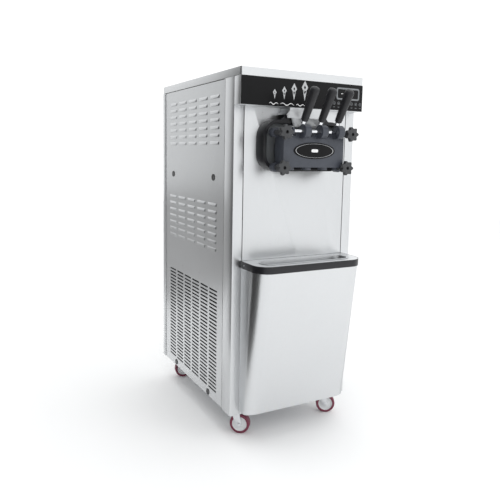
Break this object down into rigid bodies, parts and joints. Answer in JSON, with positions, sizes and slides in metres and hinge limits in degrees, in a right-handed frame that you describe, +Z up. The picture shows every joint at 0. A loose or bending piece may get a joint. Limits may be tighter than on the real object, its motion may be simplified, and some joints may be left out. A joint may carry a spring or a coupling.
{
  "type": "soft serve machine",
  "caption": "Floor-standing soft serve machine: vented brushed-steel cabinet on casters, black control panel, pull-handle dispensing head with star knobs and a hooked-on waste bin.",
  "frame": {"origin": "on the floor, under the middle of the whole machine (bin and handles included)", "axes": "+Z up, the front with the handles faces -Y, +X to the right seen from the front"},
  "size_m": [0.4806, 0.8788, 1.26],
  "materials": {
    "cabinet_steel": "brushed sheet",
    "zinc_plate": "zinc plated",
    "stainless": "brushed",
    "chrome": "polished",
    "white_plastic": "smooth food-grade plastic",
    "black_glass": "gloss membrane panel",
    "black_plastic": "satin moulded",
    "grey_plastic": "satin moulded",
    "belt_rubber": "matte",
    "dark_casting": "black enamel",
    "cooling_fins": "finned coil",
    "wine_tyre": "satin polyurethane"
  },
  "bodies": {
    "cabinet": {"front_post_left": "cabinet_steel", "front_post_right": "cabinet_steel", "side_panel_left": "cabinet_steel", "side_panel_right": "cabinet_steel", "rear_panel": "cabinet_steel", "front_panel": "cabinet_steel", "top_cover": "cabinet_steel", "control_box": "cabinet_steel", "base_tray": "zinc_plate", "equipment_deck": "zinc_plate", "electrical_box": "zinc_plate", "gearbox": "zinc_plate", "hopper_left": "stainless", "hopper_right": "stainless", "freezing_cylinder_left": "stainless", "freezing_cylinder_right": "stainless", "switch_cover": "stainless", "pivot_pin": "stainless", "air_tube_left": "white_plastic", "air_tube_right": "white_plastic", "control_panel": "black_glass", "collar": "black_plastic", "badge_plate": "black_plastic", "cylinder_flange": "grey_plastic", "dispensing_block": "grey_plastic", "drive_belt": "belt_rubber", "motor": "dark_casting", "compressor": "dark_casting", "condenser": "cooling_fins"},
    "hopper_lid_left": {"hopper_lid_left": "stainless"},
    "beater_left": {"beater_left": "white_plastic"},
    "hopper_lid_right": {"hopper_lid_right": "stainless"},
    "beater_right": {"beater_right": "white_plastic"},
    "gearbox_pulley": {"gearbox_pulley": "zinc_plate"},
    "motor_pulley": {"motor_pulley": "zinc_plate"},
    "fan": {"fan": "black_plastic"},
    "handle_1": {"lever_1": "chrome", "grip_1": "black_plastic"},
    "piston_1": {"piston_1": "white_plastic"},
    "handle_2": {"lever_2": "chrome", "grip_2": "black_plastic"},
    "piston_2": {"piston_2": "white_plastic"},
    "handle_3": {"lever_3": "chrome", "grip_3": "black_plastic"},
    "piston_3": {"piston_3": "white_plastic"},
    "knob_top_left": {"knob_top_left": "grey_plastic"},
    "knob_top_right": {"knob_top_right": "grey_plastic"},
    "knob_bottom_left": {"knob_bottom_left": "grey_plastic"},
    "knob_bottom_right": {"knob_bottom_right": "grey_plastic"},
    "bin": {"bin_shell": "cabinet_steel", "bin_rim": "black_plastic"},
    "drip_tray": {"drip_tray": "stainless"},
    "caster_fork_front_left": {"caster_fork_front_left": "zinc_plate"},
    "caster_wheel_front_left": {"caster_wheel_front_left": "wine_tyre"},
    "caster_fork_front_right": {"caster_fork_front_right": "zinc_plate"},
    "caster_wheel_front_right": {"caster_wheel_front_right": "wine_tyre"},
    "caster_fork_rear_left": {"caster_fork_rear_left": "zinc_plate"},
    "caster_wheel_rear_left": {"caster_wheel_rear_left": "wine_tyre"},
    "caster_fork_rear_right": {"caster_fork_rear_right": "zinc_plate"},
    "caster_wheel_rear_right": {"caster_wheel_rear_right": "wine_tyre"}
  },
  "joints": [
    {"name": "handle_1_pull", "type": "hinge", "parent": "cabinet", "child": "handle_1", "pos_m": [-0.065, -0.35363, 1.065], "axis": [1, 0, 0], "range_deg": [0, 35]},
    {"name": "piston_1_lift", "type": "slide", "parent": "cabinet", "child": "piston_1", "axis": [0, 0, 1], "range_m": [0, 0.0235]},
    {"name": "handle_2_pull", "type": "hinge", "parent": "cabinet", "child": "handle_2", "pos_m": [0, -0.35363, 1.065], "axis": [1, 0, 0], "range_deg": [0, 35]},
    {"name": "piston_2_lift", "type": "slide", "parent": "cabinet", "child": "piston_2", "axis": [0, 0, 1], "range_m": [0, 0.0235]},
    {"name": "handle_3_pull", "type": "hinge", "parent": "cabinet", "child": "handle_3", "pos_m": [0.065, -0.35363, 1.065], "axis": [1, 0, 0], "range_deg": [0, 35]},
    {"name": "piston_3_lift", "type": "slide", "parent": "cabinet", "child": "piston_3", "axis": [0, 0, 1], "range_m": [0, 0.0235]},
    {"name": "knob_top_left_turn", "type": "hinge", "parent": "cabinet", "child": "knob_top_left", "pos_m": [-0.127, -0.33563, 1.06], "axis": [0, -1, 0], "continuous": true},
    {"name": "knob_top_right_turn", "type": "hinge", "parent": "cabinet", "child": "knob_top_right", "pos_m": [0.127, -0.33563, 1.06], "axis": [0, -1, 0], "continuous": true},
    {"name": "knob_bottom_left_turn", "type": "hinge", "parent": "cabinet", "child": "knob_bottom_left", "pos_m": [-0.123, -0.33563, 0.949], "axis": [0, -1, 0], "continuous": true},
    {"name": "knob_bottom_right_turn", "type": "hinge", "parent": "cabinet", "child": "knob_bottom_right", "pos_m": [0.123, -0.33563, 0.949], "axis": [0, -1, 0], "continuous": true},
    {"name": "hopper_lid_left_lift", "type": "slide", "parent": "cabinet", "child": "hopper_lid_left", "axis": [0, 0, 1], "range_m": [0, 0.1]},
    {"name": "hopper_lid_right_lift", "type": "slide", "parent": "cabinet", "child": "hopper_lid_right", "axis": [0, 0, 1], "range_m": [0, 0.1]},
    {"name": "motor_spin", "type": "hinge", "parent": "cabinet", "child": "motor_pulley", "pos_m": [0, 0.27537, 0.78], "axis": [0, 1, 0], "continuous": true},
    {"name": "gearbox_spin", "type": "hinge", "parent": "cabinet", "child": "gearbox_pulley", "pos_m": [0, 0.27537, 1], "axis": [0, 1, 0], "continuous": true},
    {"name": "beater_left_spin", "type": "hinge", "parent": "cabinet", "child": "beater_left", "pos_m": [-0.062, -0.04563, 1.003], "axis": [0, 1, 0], "continuous": true},
    {"name": "beater_right_spin", "type": "hinge", "parent": "cabinet", "child": "beater_right", "pos_m": [0.062, -0.04563, 1.003], "axis": [0, 1, 0], "continuous": true},
    {"name": "fan_spin", "type": "hinge", "parent": "cabinet", "child": "fan", "pos_m": [-0.167, 0.09437, 0.312], "axis": [1, 0, 0], "continuous": true},
    {"name": "bin_lift", "type": "slide", "parent": "cabinet", "child": "bin", "axis": [0, 0, 1], "range_m": [0, 0.12]},
    {"name": "drip_tray_lift", "type": "slide", "parent": "bin", "child": "drip_tray", "axis": [0, 0, 1], "range_m": [0, 0.08]},
    {"name": "caster_swivel_front_left", "type": "hinge", "parent": "cabinet", "child": "caster_fork_front_left", "pos_m": [-0.186, -0.16263, 0.088], "axis": [0, 0, 1], "continuous": true},
    {"name": "caster_roll_front_left", "type": "hinge", "parent": "caster_fork_front_left", "child": "caster_wheel_front_left", "pos_m": [-0.17046, -0.17522, 0.036], "axis": [0.6293, 0.7771, 0], "continuous": true},
    {"name": "caster_swivel_front_right", "type": "hinge", "parent": "cabinet", "child": "caster_fork_front_right", "pos_m": [0.186, -0.16263, 0.088], "axis": [0, 0, 1], "continuous": true},
    {"name": "caster_roll_front_right", "type": "hinge", "parent": "caster_fork_front_right", "child": "caster_wheel_front_right", "pos_m": [0.20314, -0.17293, 0.036], "axis": [0.515, 0.8572, 0], "continuous": true},
    {"name": "caster_swivel_rear_left", "type": "hinge", "parent": "cabinet", "child": "caster_fork_rear_left", "pos_m": [-0.186, 0.39637, 0.088], "axis": [0, 0, 1], "continuous": true},
    {"name": "caster_roll_rear_left", "type": "hinge", "parent": "caster_fork_rear_left", "child": "caster_wheel_rear_left", "pos_m": [-0.16644, 0.39221, 0.036], "axis": [0.2079, 0.9781, 0], "continuous": true},
    {"name": "caster_swivel_rear_right", "type": "hinge", "parent": "cabinet", "child": "caster_fork_rear_right", "pos_m": [0.186, 0.39637, 0.088], "axis": [0, 0, 1], "continuous": true},
    {"name": "caster_roll_rear_right", "type": "hinge", "parent": "caster_fork_rear_right", "child": "caster_wheel_rear_right", "pos_m": [0.20413, 0.38792, 0.036], "axis": [0.4226, 0.9063, 0], "continuous": true}
  ],
  "couplings": [
    {"joint": "piston_1_lift", "follows": "handle_1_pull", "m_per_rad": 0.0376},
    {"joint": "piston_2_lift", "follows": "handle_2_pull", "m_per_rad": 0.0376},
    {"joint": "piston_3_lift", "follows": "handle_3_pull", "m_per_rad": 0.0376},
    {"joint": "gearbox_spin", "follows": "motor_spin", "ratio": 0.4},
    {"joint": "beater_left_spin", "follows": "motor_spin", "ratio": 0.05},
    {"joint": "beater_right_spin", "follows": "motor_spin", "ratio": 0.05}
  ]
}
